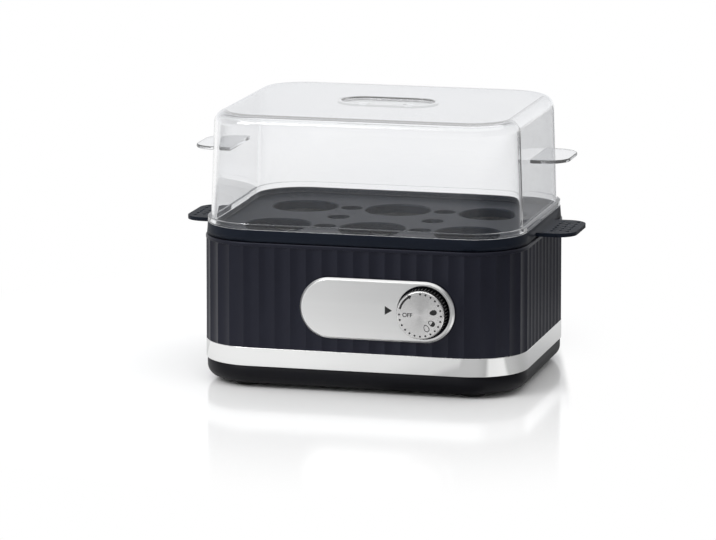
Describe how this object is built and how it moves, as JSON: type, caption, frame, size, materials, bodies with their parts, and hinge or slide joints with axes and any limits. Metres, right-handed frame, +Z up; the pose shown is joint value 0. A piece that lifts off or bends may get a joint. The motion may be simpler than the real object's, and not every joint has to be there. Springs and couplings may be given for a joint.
{
  "type": "electric egg cooker",
  "caption": "Tabletop egg cooker: fluted casing with a bright band, water dish and heater, lift-out egg tray, clear vented lid and a front timer knob.",
  "frame": {"origin": "middle of the plan, of the casing and of the whole alike, on the surface that the feet stand on", "axes": "+X to the right seen from the front, +Y to the rear (the knob faces -Y), +Z up"},
  "size_m": [0.21, 0.1562, 0.1422],
  "materials": {
    "black_abs": "moulded semi-gloss black",
    "black_pp": "moulded black",
    "black_tray_pp": "moulded satin black",
    "knob_black": "moulded ribbed black",
    "rubber": "moulded",
    "inlet_rubber": "moulded",
    "silicone": "die-cut",
    "mirror_steel": "mirror polished",
    "brushed_plate": "brushed, bevelled edge",
    "spun_aluminium": "spun face",
    "clear_lid": null,
    "polished_dish": "polished",
    "zinc_steel": "zinc plated",
    "spring_steel": "rolled",
    "cast_aluminium": "cast",
    "shield_aluminium": "rolled sheet",
    "thermostat_shell": "drawn cap",
    "element_sheath": "annealed sheath",
    "board_laminate": "green laminate",
    "relay_case": "moulded blue",
    "natural_nylon": "natural nylon",
    "brass_shaft": "turned",
    "lead_brown": "insulated wire",
    "lead_blue": "insulated wire",
    "lead_red": "insulated wire",
    "lead_green": "insulated wire"
  },
  "bodies": {
    "base": {"casing": "black_abs", "base_pan": "black_pp", "rubber_feet": "rubber", "chrome_band": "mirror_steel", "front_plate": "brushed_plate", "heating_dish": "polished_dish", "dish_gasket": "silicone", "dish_nuts": "zinc_steel", "base_screws": "zinc_steel", "board_screws": "zinc_steel", "clamp_nuts": "zinc_steel", "shield_nuts": "zinc_steel", "shield_spacers": "zinc_steel", "heat_spreader": "cast_aluminium", "heating_element": "element_sheath", "element_clamp": "spring_steel", "heat_shield": "shield_aluminium", "thermostat": "thermostat_shell", "thermal_fuse": "zinc_steel", "fuse_clip": "spring_steel", "control_board": "board_laminate", "rotary_control": "black_pp", "relay": "relay_case", "capacitor": "relay_case", "buzzer": "black_pp", "board_connector": "natural_nylon", "terminal_block": "natural_nylon", "terminal_screws": "brass_shaft", "earth_lug": "brass_shaft", "cord_inlet": "inlet_rubber", "live_lead": "lead_brown", "board_neutral_lead": "lead_blue", "neutral_lead": "lead_blue", "thermostat_lead": "lead_red", "heater_lead": "lead_red", "earth_lead": "lead_green"},
    "tray": {"egg_tray": "black_tray_pp"},
    "lid": {"lid": "clear_lid"},
    "knob": {"knob_body": "knob_black", "knob_cap": "spun_aluminium", "control_shaft": "brass_shaft"}
  },
  "joints": [
    {"name": "tray_lift", "type": "slide", "parent": "base", "child": "tray", "axis": [0, 0, 1], "range_m": [0, 0.06]},
    {"name": "lid_lift", "type": "slide", "parent": "tray", "child": "lid", "axis": [0, 0, 1], "range_m": [0, 0.09]},
    {"name": "dial_turn", "type": "hinge", "parent": "base", "child": "knob", "pos_m": [0.0376, -0.0735, 0.0451], "axis": [0, 1, 0], "range_deg": [0, 270]}
  ]
}
